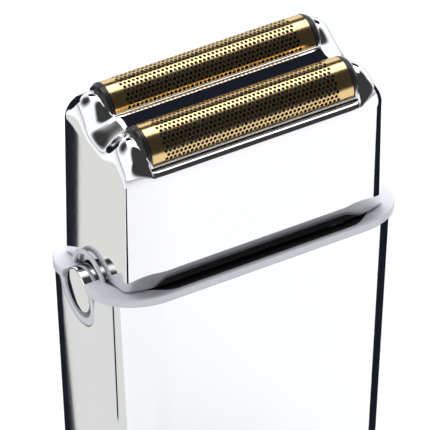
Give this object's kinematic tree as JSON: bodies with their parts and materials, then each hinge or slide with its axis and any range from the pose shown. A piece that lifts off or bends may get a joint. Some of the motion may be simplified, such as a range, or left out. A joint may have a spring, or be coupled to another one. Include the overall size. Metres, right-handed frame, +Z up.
{
  "type": "foil shaver",
  "caption": "Polished chrome double-foil shaver with gold perforated foils, a slanted grey collar and round release buttons.",
  "frame": {"origin": "centre of the flat base, with the shaver standing upright", "axes": "+Z up towards the foils, X along the foils, -Y is the front with the power switch"},
  "size_m": [0.06, 0.0342, 0.134],
  "materials": {
    "chrome_body": "polished",
    "chrome_head": "polished",
    "chrome_button": "polished",
    "gold_foil": "polished, perforated",
    "satin_grey": "satin, pale lavender grey",
    "charcoal_caps": "satin",
    "dark_plastic": "satin",
    "white_plastic": "matte",
    "black_rubber": "matte",
    "steel": "satin",
    "blade_steel": "ground",
    "nickel": "satin",
    "motor_can": "zinc plated",
    "brass": "turned",
    "cell_wrap": "shrink wrap",
    "green_board": "solder mask",
    "clear_lens": "translucent"
  },
  "bodies": {
    "shaver_body": {"housing": "chrome_body", "base_cap": "dark_plastic", "base_screws": "steel", "collar": "satin_grey", "neck_gasket": "black_rubber", "chassis": "white_plastic", "battery": "cell_wrap", "battery_tabs": "nickel", "circuit_board": "green_board", "switch_body": "dark_plastic", "switch_bezel": "satin_grey", "indicator_lens": "clear_lens", "charging_socket": "dark_plastic", "motor": "motor_can", "motor_screws": "steel", "leaf_springs": "steel", "drive_cover": "dark_plastic", "drive_cover_screws": "steel", "stem_seals": "black_rubber", "release_springs": "steel"},
    "switch": {"power_slider": "dark_plastic"},
    "rotor": {"rotor_shaft": "steel", "eccentric": "brass"},
    "bridge": {"oscillating_bridge": "white_plastic", "cutter_spring_front": "steel", "cutter_spring_rear": "steel"},
    "cutter_front": {"cutter_carrier_front": "dark_plastic", "cutter_blades_front": "blade_steel"},
    "cutter_rear": {"cutter_carrier_rear": "dark_plastic", "cutter_blades_rear": "blade_steel"},
    "head": {"head_cover": "chrome_head", "head_frame": "dark_plastic", "foil_springs_front": "steel", "foil_springs_rear": "steel"},
    "foil_unit_front": {"foil_front": "gold_foil", "foil_frame_front": "charcoal_caps"},
    "foil_unit_rear": {"foil_rear": "gold_foil", "foil_frame_rear": "charcoal_caps"},
    "button_left": {"release_button_left": "chrome_button"},
    "button_right": {"release_button_right": "chrome_button"}
  },
  "joints": [
    {"name": "power_slide", "type": "slide", "parent": "shaver_body", "child": "switch", "axis": [0, 0, 1], "range_m": [0, 0.005]},
    {"name": "motor_spin", "type": "hinge", "parent": "shaver_body", "child": "rotor", "pos_m": [0, 0, 0.088], "axis": [0, 0, 1], "continuous": true},
    {"name": "bridge_stroke", "type": "slide", "parent": "shaver_body", "child": "bridge", "axis": [1, 0, 0], "range_m": [-0.0012, 0.0012], "stiffness_N_per_m": 1500},
    {"name": "head_lift", "type": "slide", "parent": "shaver_body", "child": "head", "axis": [0, 0, 1], "range_m": [0, 0.026]},
    {"name": "foil_dip_front", "type": "slide", "parent": "head", "child": "foil_unit_front", "axis": [0, 0, -1], "range_m": [0, 0.0015], "stiffness_N_per_m": 500, "springref_m": -0.001, "deforming": ["foil_springs_front"]},
    {"name": "cutter_dip_front", "type": "slide", "parent": "bridge", "child": "cutter_front", "axis": [0, 0, -1], "range_m": [0, 0.0015], "stiffness_N_per_m": 400, "springref_m": -0.001, "deforming": ["cutter_spring_front"]},
    {"name": "foil_dip_rear", "type": "slide", "parent": "head", "child": "foil_unit_rear", "axis": [0, 0, -1], "range_m": [0, 0.0015], "stiffness_N_per_m": 500, "springref_m": -0.001, "deforming": ["foil_springs_rear"]},
    {"name": "cutter_dip_rear", "type": "slide", "parent": "bridge", "child": "cutter_rear", "axis": [0, 0, -1], "range_m": [0, 0.0015], "stiffness_N_per_m": 400, "springref_m": -0.001, "deforming": ["cutter_spring_rear"]},
    {"name": "button_press_left", "type": "slide", "parent": "shaver_body", "child": "button_left", "axis": [1, 0, 0], "range_m": [0, 0.0014], "stiffness_N_per_m": 1000, "springref_m": -0.0005},
    {"name": "button_press_right", "type": "slide", "parent": "shaver_body", "child": "button_right", "axis": [-1, 0, 0], "range_m": [0, 0.0014], "stiffness_N_per_m": 1000, "springref_m": -0.0005}
  ],
  "couplings": [
    {"joint": "cutter_dip_front", "follows": "foil_dip_front", "ratio": 1},
    {"joint": "cutter_dip_rear", "follows": "foil_dip_rear", "ratio": 1}
  ]
}
